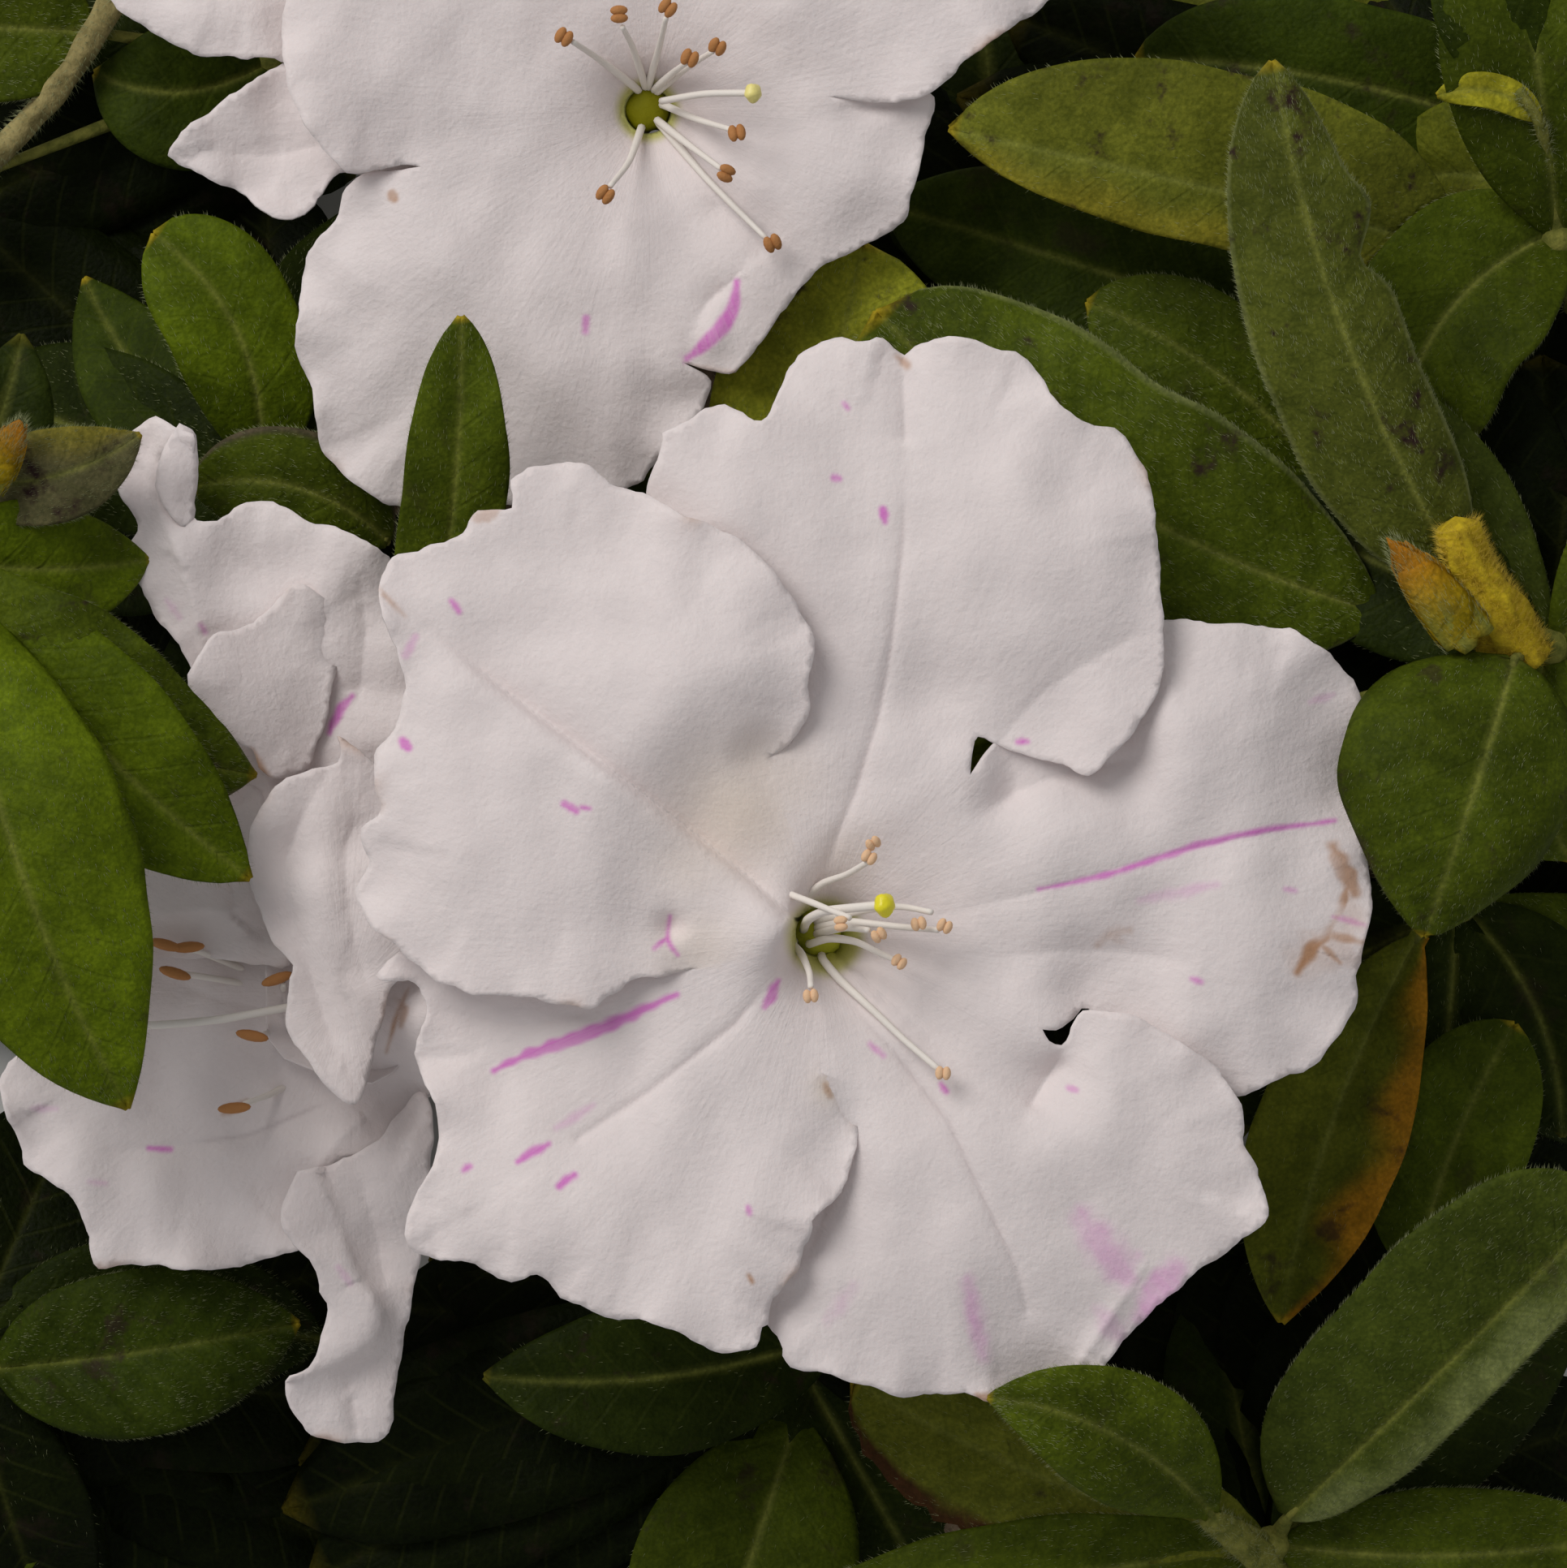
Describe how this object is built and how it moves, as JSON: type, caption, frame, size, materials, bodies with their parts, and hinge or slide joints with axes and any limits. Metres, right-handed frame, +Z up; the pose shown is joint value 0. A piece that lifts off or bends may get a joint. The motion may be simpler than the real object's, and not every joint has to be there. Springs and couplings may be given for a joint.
{
  "type": "flowering azalea branch",
  "caption": "Cut azalea spray lying face up: woody stem with side shoots, whorls of hairy oval leaves, and open white blooms streaked with magenta.",
  "frame": {"origin": "middle of the spray's footprint on the level surface it lies on", "axes": "+Z up, the way the blooms face; +Y from the cut end towards the tip of the spray"},
  "size_m": [0.1622, 0.1735, 0.0526],
  "materials": {
    "bark": "thin grey-brown bark, hairy on the young shoots",
    "young_shoot": "yellow-green shoot with golden hairs",
    "leaf": "soft satin green with a pale midrib and fine white hairs",
    "shaded_leaf": "darker older leaves in the shade of the others",
    "petal": "warm white, matt, slightly translucent, with a green throat and magenta streaks",
    "bud": "yellow to orange bud scales with golden hairs"
  },
  "bodies": {
    "root": {"main_stem": "bark", "shoot_right": "bark", "shoot_upper_right": "bark", "shoot_lower_right": "bark", "shoot_left": "bark", "shoot_upper_left": "bark", "shoot_lower_left": "bark", "shoot_tip": "bark", "shoot_low_right": "bark", "shoot_low_left": "bark", "shoot_low_upper": "bark", "shoot_low_middle": "bark", "shoot_right_middle": "bark", "shoot_under_left": "bark", "shoot_under_middle": "bark", "stalk_main_bloom": "young_shoot", "stalk_upper_bloom": "young_shoot", "stalk_left_bloom": "young_shoot", "bloom_main": "petal", "bloom_upper": "petal", "bloom_left": "petal", "bud_right": "bud", "bud_left": "bud", "leaves_right": "leaf", "leaves_upper_right": "leaf", "leaves_left": "leaf", "leaves_upper_left": "leaf", "leaves_under_left": "leaf", "leaves_under_middle": "leaf", "leaves_tip": "shaded_leaf", "leaves_lower_left": "leaf", "leaves_lower_right": "leaf", "leaves_right_middle": "leaf", "leaves_low_middle": "shaded_leaf", "leaves_low_right": "shaded_leaf", "leaves_low_left": "shaded_leaf", "leaves_low_upper": "shaded_leaf"}
  },
  "joints": []
}
